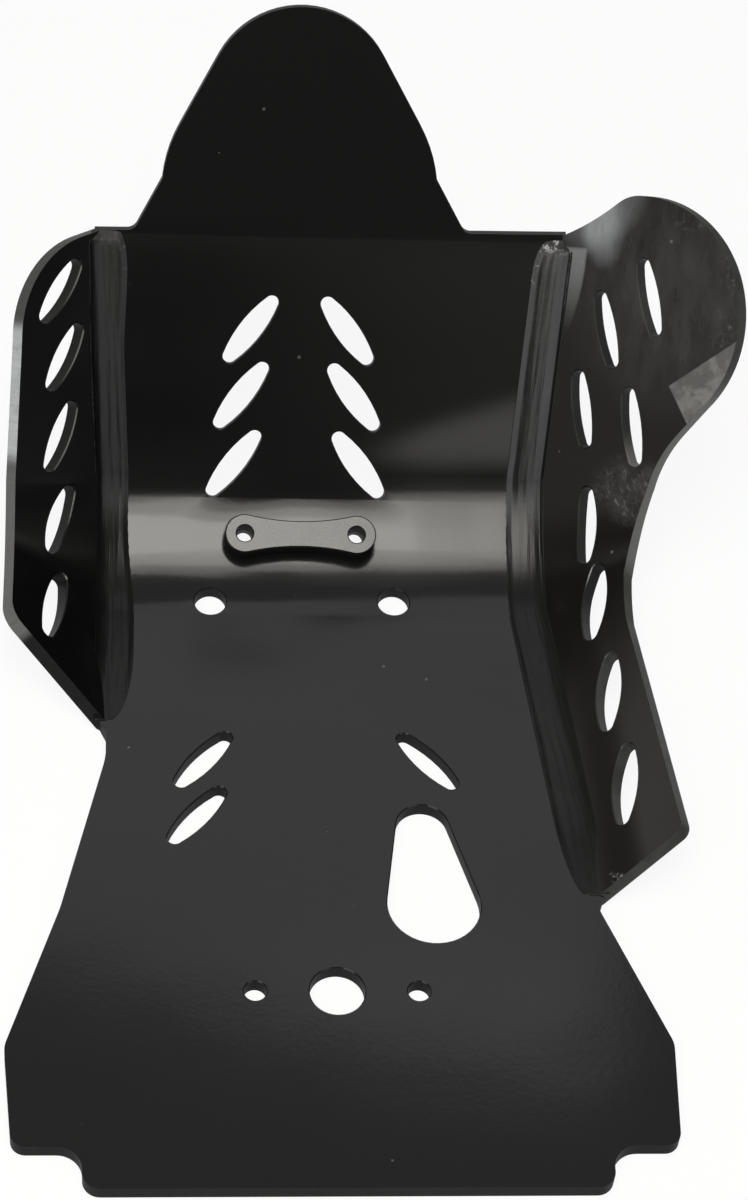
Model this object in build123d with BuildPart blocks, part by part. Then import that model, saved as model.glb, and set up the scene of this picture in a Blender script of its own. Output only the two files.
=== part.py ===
from build123d import *
import os
from math import cos, hypot, radians, sin, tan

os.makedirs("parts", exist_ok=True)

# A motorcycle skid plate of thick plastic sheet: a heat-bent centre plate, two flared wings
# welded along its sides with extruded beads, and a dog-bone clamp spacer in the bend.
# Millimetres. The origin is midway between the rear bolts, on the underside of the belly.
# X is to the rider's right, Y is forward to the nose, Z is up.

# Sheet and its main bend
sheet = 6.35
bend_angle = 51
bend_radius = 75
bend_start = 196

# Belly and rear foot
left_kink = (-109.7, 39.5)
left_foot = (-130.3, -26)
left_heel = -126.6
right_kink_x = 108.6
right_kink_drop = 7.1
right_foot = (132.1, -24.5)
right_heel = 129.6
notch_floor = -71
tail_left = -99.7
tail_right = 102.8
rear_edge = -89.3
waist_left = -91.8
waist_end = 117
waist_step = 6
step_fillet = 3
waist_fillet = 40
kink_fillet = 60
foot_fillet = 12
heel_fillet = 6
notch_fillet = 10
tail_fillet = 7

# Front panel, crease and nose tongue
panel_length = 103.8
crease_radius = 8
nose_bend = 10
left_shoulder_rise = 0.1
right_shoulder_rise = 2.7
shoulder_fillet = 5
nose_centre = -10.4
nose_lean = 1.25
nose_base_half = 72.9
nose_neck_half = 59.5
nose_neck = 24.4
nose_bulge_half = 52
nose_flank_angle = 29
nose_tip_radius = 40.4
nose_length = 98.7

# Weld seams: half width at the bend, and how far each seam leans out along belly and panel
right_half = 95.5
right_belly_toe = 5
right_panel_toe = 5.1
right_flare = 42
right_tail = 150
left_half = 91.5
left_belly_toe = 0.6
left_panel_toe = 2.9
left_flare = 40
left_tail = 60

# Right wing, widths measured up the wing from its seam
right_width_low = 46.7
right_width_high = 59.6
right_edge_waist = (44, 24)
right_low_corner = (53.4, 137)
right_low_fillet = 5
lobe_centre = (47, 75)
lobe_radius = 52
lobe_shoulder = (38.5, 126.2)
lobe_saddle = (22, 114.8)
lobe_blend = 18
lobe_throat = (72.7, 25.8)
right_top = 107.6

# Left wing
left_width = 52.2
left_low_corner = 28.5
left_low_fillet = 12
left_top_centre = (3.3, 59.6)
left_top_radius = 44.4
left_top_lean = 14

# Weld beads
bead_plate_leg = 11.5
bead_wing_leg = 6.5
bead_height = 3.8
bead_end_gap = 1.5

# Lens slots: length and width for each group, then places as across, along and tilt.
# On the wings across is up the wing, and along is forward on the right and back on the left.
slot_end_radius = 3.2
edge_break = 0.5
plate_slot = (36, 10.5)
right_high_slot = (34, 9.2)
right_low_slot = (38, 12.2)
left_slot = (33, 10.3)
left_low_slot = (39, 10.7)
slot_tilt = 53
panel_row_centre = -9.4
panel_slots = [(21.2, 63.5), (24.8, 34.4), (27.5, 4.4)]
belly_row_centre = -4.2
belly_slot_half = 47.1
belly_slot_rows = (116.2, 87)
right_high_slots = [(53.8, 83.8, 107), (33.1, 68.4, 107), (23.4, 33, 102), (49.8, 27.6, 102)]
right_bend_angle = 32.6
right_bend_place = (29.4, 0, 86.7)
right_low_slots = [(30, -6.7, 74.5), (29.8, -55.5, 77), (30.4, -103.5, 76.3)]
left_high_slots = [(26.3, -79.7, 51.3), (24.3, -51.3, 57), (27, -17.2, 63)]
left_bend_angle = 32.1
left_bend_place = (27.9, 0, 69.6)
left_low_place = (29.1, 11.1, 79.4)

# Holes
bolt_spacing = 65
bolt_hole = 9
drain_hole = 22
teardrop_wide = (41.1, 42.4, 19)
teardrop_narrow = (38.7, 82, 10.8)
bend_hole = 13.8
bend_holes = [(-46.9, 5.7), (33.3, 6.4)]

# Clamp spacer
spacer_centre = -7.5
spacer_angle = 29.3
spacer_height = 9.5
spacer_end_radius = 8.6
spacer_waist_half = 5.8
spacer_hole = 7.3
spacer_hole_spacing = 49

across = Vector(1, 0, 0)
bend_axis = Axis((0, bend_start, sheet + bend_radius), (1, 0, 0))


def around_bend(angle):
    # Underside point, forward direction and inward normal at this angle round the bend
    a = radians(angle)
    reach = bend_radius + sheet
    point = Vector(0, bend_start + reach * sin(a), sheet + bend_radius - reach * cos(a))
    return point, Vector(0, cos(a), sin(a)), Vector(0, -sin(a), cos(a))


def section_plane(angle):
    # Plane that cuts the sheet square across, X across and Y up from the underside
    point, forward, _ = around_bend(angle)
    return Plane(point, x_dir=across, z_dir=-forward)


def skin_plane(angle, shift=0):
    # Plane on the underside, X across and Y forward along the sheet
    point, _, normal = around_bend(angle)
    return Plane(point + across * shift, x_dir=across, z_dir=normal)


class Seam:
    # One weld seam, and the wing that leans out from it by the flare angle

    def __init__(self, side, half, belly_toe, panel_toe, flare):
        self.side = side
        self.half = half
        self.flare = radians(flare)
        self.back = Vector(side * tan(radians(belly_toe)), -1, 0)
        self.up = around_bend(bend_angle)[1] + across * (side * tan(radians(panel_toe)))
        self.mitre = sheet * tan(self.flare / 2)

    def outline(self, *points):
        # Points of a cross-section, outwards and upwards from the seam
        return [(self.side * (self.half + out), sheet + rise) for out, rise in points]

    def up_wing(self, width, drop=0):
        # Out and rise of a point up the wing's inner face, and a drop through the wing
        out = width * cos(self.flare) + drop * sin(self.flare)
        return out, width * sin(self.flare) - drop * cos(self.flare)

    def wing_plane(self, angle, along):
        # Plane on the wing's inner face, X up the wing and Y along the seam
        point, _, normal = around_bend(angle)
        root = point + normal * sheet + across * (self.side * self.half)
        lean = across * (self.side * cos(self.flare)) + normal * sin(self.flare)
        inward = lean.cross(along) * self.side
        return Plane(root, x_dir=lean, z_dir=inward)

    def bend_plane(self, angle):
        # The same plane at an angle round the bend, where the seam runs straight forward
        return self.wing_plane(angle, around_bend(angle)[1])

    def carry(self, section, tail, head):
        # The section run back along the belly, round the bend and up the panel
        with BuildPart() as run:
            with BuildSketch(section_plane(0)):
                add(section)
            extrude(amount=tail, dir=self.back)
            with BuildSketch(section_plane(0)):
                add(section)
            revolve(axis=bend_axis, revolution_arc=bend_angle)
            with BuildSketch(section_plane(bend_angle)):
                add(section)
            extrude(amount=head, dir=self.up)
        return run.part

    def wing_section(self, width):
        # The sheet of the wing, mitred where it meets the plate
        with BuildSketch() as section:
            with BuildLine():
                Polyline(
                    self.outline(
                        (0, 0),
                        self.up_wing(width),
                        self.up_wing(width, sheet),
                        (self.mitre, -sheet),
                    ),
                    close=True,
                )
            make_face()
        return section.sketch

    def trim_section(self):
        # Everything outside the mitre, to trim the side of the plate
        over = 2
        slope = self.mitre / sheet
        with BuildSketch() as section:
            with BuildLine():
                Polyline(
                    self.outline(
                        (-over * slope, over),
                        (self.mitre + over * slope, -sheet - over),
                        (4 * sheet, -sheet - over),
                        (4 * sheet, over),
                    ),
                    close=True,
                )
            make_face()
        return section.sketch

    def bead_section(self):
        # A rounded bead that fills the inner corner between plate and wing
        half_flare = self.flare / 2
        crown = (-bead_height * sin(half_flare), bead_height * cos(half_flare))
        toe, top, wing_toe, root = self.outline(
            (-bead_plate_leg, 0), crown, self.up_wing(bead_wing_leg), (0, 0)
        )
        with BuildSketch() as section:
            with BuildLine():
                ThreePointArc(toe, top, wing_toe)
                Polyline(wing_toe, root, toe)
            make_face()
        return section.sketch


right = Seam(1, right_half, right_belly_toe, right_panel_toe, right_flare)
left = Seam(-1, left_half, left_belly_toe, left_panel_toe, left_flare)


def lens_slot(size):
    # Lens outline with round ends, along X
    length, width = size
    reach = length / 2 - slot_end_radius
    bulge = width / 2 - slot_end_radius
    drop = (reach**2 - bulge**2) / (2 * bulge)
    tip_x = reach + slot_end_radius * reach / hypot(reach, drop)
    tip_y = slot_end_radius * drop / hypot(reach, drop)
    with BuildSketch() as slot:
        with BuildLine():
            ThreePointArc((-tip_x, tip_y), (0, width / 2), (tip_x, tip_y))
            ThreePointArc((tip_x, tip_y), (length / 2, 0), (tip_x, -tip_y))
            ThreePointArc((tip_x, -tip_y), (0, -width / 2), (-tip_x, -tip_y))
            ThreePointArc((-tip_x, -tip_y), (-length / 2, 0), (-tip_x, tip_y))
        make_face()
    return slot.sketch


def slot_frames(plane, places, size):
    # A plane on the middle of each slot with X along the slot, and the slot's size
    return [(Plane(plane.location * Pos(x, y) * Rot(0, 0, tilt)), size) for x, y, tilt in places]


def slot_rims(part, frames):
    # Edges where the slots open onto the inner face
    rims = []
    for frame, (length, width) in frames:
        curves = part.edges().filter_by(GeomType.LINE, reverse=True)
        spots = [(edge, frame.to_local_coords(edge.position_at(0.5))) for edge in curves]
        near = [(edge, spot) for edge, spot in spots if abs(spot.Z) < sheet / 2]
        near = [(edge, spot) for edge, spot in near if abs(spot.X) <= length / 2 + edge_break]
        rims += [edge for edge, spot in near if abs(spot.Y) <= width / 2 + edge_break]
    return rims


def hole_rims(part):
    # Edges round the holes of the faces that look up at the engine
    inner = [face for face in part.faces() if face.inner_wires() and face.normal_at(face.center()).Z > 0]
    return [edge for face in inner for edge in face.inner_wires().edges()]


# The crease runs across the top of the panel
panel_plane = skin_plane(bend_angle)
crease_plane = Plane(panel_plane.location * Pos(0, panel_length, 0))
crease_section = Plane(crease_plane.origin, x_dir=crease_plane.x_dir, z_dir=-crease_plane.y_dir)
crease_centre = crease_plane.origin + crease_plane.z_dir * (sheet + crease_radius)
crease_axis = Axis(crease_centre, crease_plane.x_dir)
nose_normal = crease_plane.z_dir * cos(radians(nose_bend)) - crease_plane.y_dir * sin(radians(nose_bend))
nose_root = crease_centre - nose_normal * (sheet + crease_radius)
nose_plane = Plane(nose_root, x_dir=crease_plane.x_dir, z_dir=nose_normal)

# Nose tongue, drawn about its own centre line
with BuildSketch() as tongue:
    flank_lean = radians(nose_flank_angle)
    tip_start_x = nose_tip_radius * cos(flank_lean)
    tip_start_y = nose_length - nose_tip_radius * (1 - sin(flank_lean))
    bulge_y = tip_start_y - (nose_bulge_half - tip_start_x) / tan(flank_lean)
    with BuildLine():
        Polyline((0, 0), (nose_base_half, 0), (nose_neck_half, nose_neck))
        flank = Line((nose_bulge_half, bulge_y), (tip_start_x, tip_start_y))
        TangentArc(flank @ 0, (nose_neck_half, nose_neck), tangent=-(flank % 0))
        TangentArc(flank @ 1, (0, nose_length), tangent=flank % 1)
        mirror(about=Plane.YZ)
    make_face()

right_seam_end = bend_start - right_tail * cos(radians(right_belly_toe))
left_seam_end = bend_start - left_tail * cos(radians(left_belly_toe))
right_tail_half = right_half + right_tail * sin(radians(right_belly_toe)) + right.mitre
left_tail_half = left_half + left_tail * sin(radians(left_belly_toe)) + left.mitre
side_allowance = 2 * sheet
rough_width = right_half + left_half + 2 * side_allowance
rough_centre = (right_half - left_half) / 2
trim_head = panel_length + 4 * sheet

# Corner radii round the rear foot, from its left corner to its right one
foot_half = [foot_fillet, heel_fillet, notch_fillet, tail_fillet]
foot_fillets = foot_half + foot_half[::-1]

with BuildPart() as centre_plate:
    # Belly and rear foot
    with BuildSketch():
        with BuildLine():
            FilletPolyline(
                (right_half + side_allowance, bend_start),
                (-left_half - side_allowance, bend_start),
                (-left_tail_half, left_seam_end),
                (waist_left, left_seam_end - waist_step),
                (waist_left, waist_end),
                left_kink,
                left_foot,
                (left_heel, notch_floor),
                (tail_left, notch_floor),
                (tail_left, rear_edge),
                (tail_right, rear_edge),
                (tail_right, notch_floor),
                (right_heel, notch_floor),
                right_foot,
                (right_kink_x, right_seam_end - right_kink_drop),
                (right_tail_half, right_seam_end),
                radius=[0, 0, 0, step_fillet, waist_fillet, kink_fillet, *foot_fillets, step_fillet, 0],
                close=True,
            )
        make_face()
    extrude(amount=sheet)
    # Main bend
    with BuildSketch(section_plane(0)):
        with Locations((rough_centre, sheet / 2)):
            Rectangle(rough_width, sheet)
    revolve(axis=bend_axis, revolution_arc=bend_angle)
    # Front panel, cut off along the crease
    with BuildSketch(panel_plane):
        with Locations((rough_centre, 0)):
            Rectangle(rough_width, panel_length + sheet, align=(Align.CENTER, Align.MIN))
    extrude(amount=sheet)
    split(bisect_by=crease_section, keep=Keep.TOP)
    # Crease, shoulders and nose tongue
    with BuildSketch(crease_section):
        with Locations((rough_centre, sheet / 2)):
            Rectangle(rough_width, sheet)
    revolve(axis=crease_axis, revolution_arc=nose_bend)
    with BuildSketch(nose_plane):
        with BuildLine():
            Polyline(
                (-left_half - side_allowance, 0),
                (right_half + side_allowance, 0),
                (right_half + side_allowance, right_shoulder_rise),
                (-left_half - side_allowance, left_shoulder_rise),
                close=True,
            )
        make_face()
        with Locations((nose_centre, 0)):
            add(tongue.sketch, rotation=nose_lean)
        with Locations((rough_centre, 0)):
            Rectangle(rough_width, sheet, align=(Align.CENTER, Align.MAX), mode=Mode.SUBTRACT)
        roots = [v for v in vertices() if 0.01 < v.Y < nose_neck / 2 and abs(v.X) < left_half]
        fillet(roots, shoulder_fillet)
    extrude(amount=sheet)
    # Mitred sides under the wings
    add(right.carry(right.trim_section(), right_tail, trim_head), mode=Mode.SUBTRACT)
    add(left.carry(left.trim_section(), left_tail, trim_head), mode=Mode.SUBTRACT)
    # Slots in the panel, in mirrored pairs
    with BuildSketch(skin_plane(bend_angle, panel_row_centre)):
        for half, row in panel_slots:
            with Locations((-half, row)):
                add(lens_slot(plate_slot), rotation=slot_tilt)
            with Locations((half, row)):
                add(lens_slot(plate_slot), rotation=180 - slot_tilt)
    extrude(amount=2 * sheet, both=True, mode=Mode.SUBTRACT)
    # Slots, oil drain cut-out and bolt holes in the belly
    with BuildSketch():
        for row in belly_slot_rows:
            with Locations((belly_row_centre - belly_slot_half - (belly_slot_rows[0] - row) / 10, row)):
                add(lens_slot(plate_slot), rotation=slot_tilt - 1.5)
        with Locations((belly_row_centre + belly_slot_half, belly_slot_rows[0])):
            add(lens_slot(plate_slot), rotation=180 - slot_tilt + 1.5)
    extrude(amount=sheet, mode=Mode.SUBTRACT)
    with BuildSketch():
        for x, y, r in (teardrop_wide, teardrop_narrow):
            with Locations((x, y)):
                Circle(r)
        make_hull()
    extrude(amount=sheet, mode=Mode.SUBTRACT)
    with Locations((-bolt_spacing / 2, 0, sheet), (bolt_spacing / 2, 0, sheet)):
        Hole(radius=bolt_hole / 2, depth=2 * sheet)
    with Locations((0, 0, sheet)):
        Hole(radius=drain_hole / 2, depth=2 * sheet)
    for x, angle in bend_holes:
        with BuildSketch(skin_plane(angle, x)):
            Circle(bend_hole / 2)
        extrude(amount=2 * sheet, both=True, mode=Mode.SUBTRACT)
    # Clamp bolt holes
    with BuildSketch(skin_plane(spacer_angle, spacer_centre)):
        with GridLocations(spacer_hole_spacing, 0, 2, 1):
            Circle(spacer_hole / 2)
    extrude(amount=2 * sheet, both=True, mode=Mode.SUBTRACT)
    chamfer(hole_rims(centre_plate.part), edge_break)

with BuildPart() as clamp_spacer:
    with BuildSketch(skin_plane(spacer_angle, spacer_centre)):
        # The waist's arc touches both round ends
        end_x = spacer_hole_spacing / 2
        waist_depth = spacer_end_radius - spacer_waist_half
        waist_radius = (end_x**2 + spacer_waist_half**2 - spacer_end_radius**2) / (2 * waist_depth)
        reach = waist_radius + spacer_end_radius
        tip_x = end_x + spacer_end_radius
        join_x = end_x * waist_radius / reach
        join_y = spacer_end_radius * (waist_radius + spacer_waist_half) / reach
        with BuildLine():
            ThreePointArc((-join_x, join_y), (0, spacer_waist_half), (join_x, join_y))
            ThreePointArc((join_x, join_y), (tip_x, 0), (join_x, -join_y))
            ThreePointArc((join_x, -join_y), (0, -spacer_waist_half), (-join_x, -join_y))
            ThreePointArc((-join_x, -join_y), (-tip_x, 0), (-join_x, join_y))
        make_face()
        with GridLocations(spacer_hole_spacing, 0, 2, 1):
            Circle(spacer_hole / 2, mode=Mode.SUBTRACT)
    extrude(amount=sheet + spacer_height)
    # The underside follows the inside of the bend
    with Locations((spacer_centre, bend_start, sheet + bend_radius)):
        Cylinder(bend_radius, 2 * spacer_hole_spacing, rotation=(0, 90, 0), mode=Mode.INTERSECT)
    chamfer(clamp_spacer.faces().filter_by(GeomType.PLANE).edges(), edge_break)

# Right wing: belly part, panel part with the round lobe, and the part round the bend
low_plane = right.wing_plane(0, -right.back)
high_plane = right.wing_plane(bend_angle, right.up)
lobe_edge = sin(radians(45)) * lobe_radius
low_lean = tan(radians(right_belly_toe)) * cos(right.flare)
high_lean = tan(radians(right_panel_toe)) * cos(right.flare)
overlap = 3

with BuildPart() as right_wing_low:
    with BuildSketch(section_plane(0)):
        add(right.wing_section(2 * right_width_low))
    extrude(amount=right_tail, dir=right.back)
    with BuildSketch(low_plane):
        with BuildLine():
            Line((-overlap * 4, overlap), (right_width_low, overlap))
            Line((right_width_low, overlap), (right_width_low, 0))
            edge = TangentArc(
                (right_width_low, 0), (right_edge_waist[0], -right_edge_waist[1]), tangent=(-0.19, -1)
            )
            tail_x = low_lean * right_tail
            FilletPolyline(
                edge @ 1,
                (right_low_corner[0], -right_low_corner[1]),
                (tail_x - overlap * 4, -right_tail - overlap),
                radius=right_low_fillet,
            )
            Line((tail_x - overlap * 4, -right_tail - overlap), (-overlap * 4, overlap))
        make_face()
    extrude(amount=2 * sheet, both=True, mode=Mode.INTERSECT)

with BuildPart() as right_wing_high:
    with BuildSketch(section_plane(bend_angle)):
        add(right.wing_section(2 * lobe_radius))
    extrude(amount=lobe_centre[1] + lobe_radius + overlap, dir=right.up)
    with BuildSketch(high_plane):
        with BuildLine():
            throat = Line(
                (lobe_centre[0] + lobe_edge, lobe_centre[1] - lobe_edge),
                lobe_throat,
            )
            TangentArc(throat @ 1, (right_width_high, 0), tangent=throat % 1)
            Polyline(
                (right_width_high, 0),
                (right_width_high, -overlap),
                (-overlap * 4, -overlap),
                (-overlap * 4, right_top),
                (high_lean * right_top, right_top),
            )
            ThreePointArc((high_lean * right_top, right_top), lobe_saddle, lobe_shoulder)
            ThreePointArc(
                lobe_shoulder,
                (lobe_centre[0] + lobe_edge, lobe_centre[1] + lobe_edge),
                throat @ 0,
            )
        make_face()
        fillet(vertices().sort_by_distance((*lobe_shoulder, 0))[0], lobe_blend)
    extrude(amount=2 * sheet, both=True, mode=Mode.INTERSECT)

with BuildPart() as right_wing:
    with BuildSketch(section_plane(0)):
        add(right.wing_section(right_width_high + overlap))
    revolve(axis=bend_axis, revolution_arc=bend_angle)
    # The free edge widens evenly round the bend
    steps = 4
    for i in range(steps + 1):
        share = i / steps
        width = right_width_low + (right_width_high - right_width_low) * share
        with BuildSketch(section_plane(bend_angle * share)):
            with BuildLine():
                Polyline(
                    right.outline(
                        right.up_wing(width, -sheet),
                        right.up_wing(width + lobe_radius / 2, -sheet),
                        right.up_wing(width + lobe_radius / 2, 2 * sheet),
                        right.up_wing(width, 2 * sheet),
                    ),
                    close=True,
                )
            make_face()
    loft(mode=Mode.SUBTRACT)
    add(right_wing_low.part)
    add(right_wing_high.part)
    right_slots = slot_frames(high_plane, right_high_slots, right_high_slot)
    right_slots += slot_frames(right.bend_plane(right_bend_angle), [right_bend_place], right_high_slot)
    right_slots += slot_frames(low_plane, right_low_slots, right_low_slot)
    for frame, size in right_slots:
        with BuildSketch(frame):
            add(lens_slot(size))
        extrude(amount=2 * sheet, both=True, mode=Mode.SUBTRACT)
    chamfer(slot_rims(right_wing.part, right_slots), edge_break)

# Left wing: its plane has Y pointing back
left_low_plane = left.wing_plane(0, -left.back)
left_high_plane = left.wing_plane(bend_angle, left.up)
left_edge_x = left_top_centre[0] + left_top_radius

with BuildPart() as left_wing_low:
    with BuildSketch(section_plane(0)):
        add(left.wing_section(left_width))
    extrude(amount=left_tail + overlap, dir=left.back)
    with BuildSketch(left_low_plane):
        with BuildLine():
            FilletPolyline(
                (-overlap * 4, -overlap),
                (left_width, -overlap),
                (left_width, left_low_corner),
                (0, left_tail),
                (-overlap * 4, left_tail),
                radius=[0, left_low_fillet, 0],
            )
            Line((-overlap * 4, left_tail), (-overlap * 4, -overlap))
        make_face()
    extrude(amount=2 * sheet, both=True, mode=Mode.INTERSECT)

with BuildPart() as left_wing_high:
    with BuildSketch(section_plane(bend_angle)):
        add(left.wing_section(left_width))
    extrude(amount=panel_length + 4 * overlap, dir=left.up)
    with BuildSketch(left_high_plane):
        with BuildLine():
            lean = radians(left_top_lean)
            arc_end_x = left_top_centre[0] + left_top_radius * sin(lean)
            arc_end_y = -left_top_centre[1] - left_top_radius * cos(lean)
            arc_middle = PolarLocations(left_top_radius, 1, start_angle=-45).locations[0].position
            Polyline(
                (-overlap * 4, overlap),
                (left_width, overlap),
                (left_width, 0),
                (left_edge_x, -left_top_centre[1]),
            )
            ThreePointArc(
                (left_edge_x, -left_top_centre[1]),
                (left_top_centre[0] + arc_middle.X, -left_top_centre[1] + arc_middle.Y),
                (arc_end_x, arc_end_y),
            )
            top_y = arc_end_y - tan(lean) * (arc_end_x + overlap * 4)
            Polyline((arc_end_x, arc_end_y), (-overlap * 4, top_y), (-overlap * 4, overlap))
        make_face()
    extrude(amount=2 * sheet, both=True, mode=Mode.INTERSECT)

with BuildPart() as left_wing:
    with BuildSketch(section_plane(0)):
        add(left.wing_section(left_width))
    revolve(axis=bend_axis, revolution_arc=bend_angle)
    add(left_wing_low.part)
    add(left_wing_high.part)
    left_slots = slot_frames(left_high_plane, left_high_slots, left_slot)
    left_slots += slot_frames(left.bend_plane(left_bend_angle), [left_bend_place], left_slot)
    left_slots += slot_frames(left_low_plane, [left_low_place], left_low_slot)
    for frame, size in left_slots:
        with BuildSketch(frame):
            add(lens_slot(size))
        extrude(amount=2 * sheet, both=True, mode=Mode.SUBTRACT)
    chamfer(slot_rims(left_wing.part, left_slots), edge_break)

with BuildPart() as right_weld_bead:
    add(right.carry(right.bead_section(), right_tail - bead_end_gap, panel_length - bead_end_gap))

with BuildPart() as left_weld_bead:
    add(left.carry(left.bead_section(), left_tail - bead_end_gap, panel_length - bead_end_gap))

centre_plate.part.label = "centre_plate"
export_step(centre_plate.part, "parts/centre_plate.step")
left_wing.part.label = "left_wing"
export_step(left_wing.part, "parts/left_wing.step")
right_wing.part.label = "right_wing"
export_step(right_wing.part, "parts/right_wing.step")
left_weld_bead.part.label = "left_weld_bead"
export_step(left_weld_bead.part, "parts/left_weld_bead.step")
right_weld_bead.part.label = "right_weld_bead"
export_step(right_weld_bead.part, "parts/right_weld_bead.step")
clamp_spacer.part.label = "clamp_spacer"
export_step(clamp_spacer.part, "parts/clamp_spacer.step")
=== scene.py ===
# %% [markdown]
# A motorcycle skid plate: one thick sheet of black plastic, heat-bent over the front of the engine's cradle,
# with a vented wing welded along each side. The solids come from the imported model, and this lesson dresses
# them: it adds the two welds as modelled surfaces, gives each piece its finish, and lights the whole part
# as in a small product studio. Everything is in metres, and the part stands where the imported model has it.

import math

import bpy
import numpy as np
from mathutils import Matrix


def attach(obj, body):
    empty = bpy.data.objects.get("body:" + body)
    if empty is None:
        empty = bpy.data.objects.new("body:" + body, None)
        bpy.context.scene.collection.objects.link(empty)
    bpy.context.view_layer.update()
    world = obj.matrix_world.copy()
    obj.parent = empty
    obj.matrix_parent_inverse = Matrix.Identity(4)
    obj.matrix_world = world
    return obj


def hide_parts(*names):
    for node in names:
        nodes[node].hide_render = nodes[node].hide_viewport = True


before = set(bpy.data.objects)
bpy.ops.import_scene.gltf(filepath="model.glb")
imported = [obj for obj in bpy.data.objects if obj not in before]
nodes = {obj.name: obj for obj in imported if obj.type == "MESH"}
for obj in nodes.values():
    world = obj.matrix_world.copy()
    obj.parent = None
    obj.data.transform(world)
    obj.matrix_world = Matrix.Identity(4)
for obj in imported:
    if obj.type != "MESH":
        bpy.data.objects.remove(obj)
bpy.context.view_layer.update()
print("solids in the frame:", ", ".join(sorted(nodes)))

# %% [markdown]
# The plate's main shape can be said in four numbers: the thickness of the sheet, the place where the flat
# belly ends, and the radius and angle of the bend. The shaders and the welds both need them, so they are
# written once. An angle round the bend's axis tells where a point lies: 0 on the belly, 51 degrees on the
# panel, and something between on the bend. A wing leans out from the plate's edge by its flare angle, and the
# edge itself slants by a small toe angle, so each side gets its own small record.

# %% The sheet and its bend
MM = 0.001
SHEET = 6.35 * MM
BEND_START = 196 * MM
BEND_RADIUS = 75 * MM
BEND_ANGLE = math.radians(51)
AXIS_HEIGHT = SHEET + BEND_RADIUS


class Side:
    """One wing: its hand along X, where it meets the plate, its toe and flare angles and its tail.

    Lengths are given in millimetres and angles in degrees.
    """

    def __init__(self, hand, half, belly_toe, panel_toe, flare, tail):
        self.hand = hand
        self.half = half * MM
        self.belly_toe = math.radians(belly_toe)
        self.panel_toe = math.radians(panel_toe)
        self.flare = math.radians(flare)
        self.tail = tail * MM


LEFT = Side(hand=-1, half=91.5, belly_toe=0.6, panel_toe=2.9, flare=40, tail=60)
RIGHT = Side(hand=1, half=95.5, belly_toe=5.0, panel_toe=5.1, flare=42, tail=150)
print("bend: radius", BEND_RADIUS, "m, angle", round(math.degrees(BEND_ANGLE)), "degrees")

# %% [markdown]
# A weld on sheet plastic is a thick string of soft plastic, pressed into the corner by the shoe of a hand
# welder. It could be swept as a curve with a bevel, but then every section would be alike. Here it is a
# profile carried along a path, worked out as whole arrays: the path runs straight along the belly, round the
# bend and straight up the panel, and the profile changes on the way. First comes the path.

# %% The path of a weld


def seam(side, along):
    """Point and inward normal at each distance along the corner, where 0 is the start of the bend.

    Below 0 the path runs back along the belly, slanted by the belly's toe angle. From 0 to radius times
    angle it is an arc round the bend's axis. Past that it runs up the panel, slanted by the panel's toe.
    """
    angle = np.clip(along / BEND_RADIUS, 0, BEND_ANGLE)
    back = np.minimum(along, 0)
    up = np.maximum(along - BEND_RADIUS * BEND_ANGLE, 0)
    x = side.half - back * math.sin(side.belly_toe) + up * math.sin(side.panel_toe)
    y = BEND_START + BEND_RADIUS * np.sin(angle) + back * math.cos(side.belly_toe)
    y = y + up * math.cos(side.panel_toe) * math.cos(BEND_ANGLE)
    z = AXIS_HEIGHT - BEND_RADIUS * np.cos(angle)
    z = z + up * math.cos(side.panel_toe) * math.sin(BEND_ANGLE)
    normal = np.stack([np.zeros_like(angle), -np.sin(angle), np.cos(angle)], axis=-1)
    return np.stack([side.hand * x, y, z], axis=-1), normal


def drift(along, seed, wave):
    """A slow, smooth wander between about -1 and 1: three sines of unlike length added up."""
    turn = 2 * np.pi * along / wave
    slow, middle = np.sin(turn + seed), np.sin(2.3 * turn + 2.1 * seed)
    return (slow + 0.6 * middle + 0.4 * np.sin(4.1 * turn + 3.7 * seed)) / 2


left_path = seam(LEFT, np.array([-LEFT.tail, 0, BEND_RADIUS * BEND_ANGLE]))[0]
print("left corner, at the tail and both ends of the bend:", left_path.round(4).tolist())

# %% [markdown]
# The profile is the skill in a good weld. It lies low on the plate, rises gently over the corner and runs out
# along the wing. At the top the welder lifts off and the string narrows, and at the tail its toe curves in to
# the edge. So the first thing to work out is how wide the weld is on each of the two sheets.

# %% How wide a weld is
PLATE_LEG = 11.5 * MM
WING_LEG = 6.5 * MM
HEAD = BEND_RADIUS * BEND_ANGLE + 105.8 * MM
TAIL_TAPER, HEAD_TAPER, WING_TAPER = 40 * MM, 15 * MM, 8 * MM
WING_HEAD = 0.5
SHIFT_EASE, SHIFT_STOP, SHIFT_GAIN = 45 * MM, 12 * MM, 1.3


def smooth(part):
    """A step from 0 to 1 that starts and ends level."""
    part = np.clip(part, 0, 1)
    return part * part * (3 - 2 * part)


def narrowing(distance, length, least):
    """Least at the very end of a weld, growing to 1 over the length as a quarter of an ellipse does."""
    left = 1 - np.clip(distance / length, 0, 1)
    return least + (1 - least) * np.sqrt(np.clip(1 - left**2, 0, 1))


def weld_legs(from_tail, from_head, along, ends, shift):
    """The weld's width on the plate and up the wing, at each distance along the corner.

    Each is its full leg times its narrowing at the ends. From the bend up, a share of the plate's leg can be
    taken off and the wing's leg drawn out instead, so that the whole weld shifts out over the wing.
    """
    tail_end, head_end = ends
    shifted = shift * smooth(along / SHIFT_EASE) * smooth((from_head - SHIFT_STOP) / SHIFT_EASE)
    plate_leg = PLATE_LEG * narrowing(from_tail, TAIL_TAPER, tail_end)
    plate_leg = plate_leg * narrowing(from_head, HEAD_TAPER, head_end)
    wing_leg = WING_LEG * narrowing(from_head, WING_TAPER, WING_HEAD)
    return plate_leg * (1 - shifted), wing_leg * (1 + SHIFT_GAIN * shifted)


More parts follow.
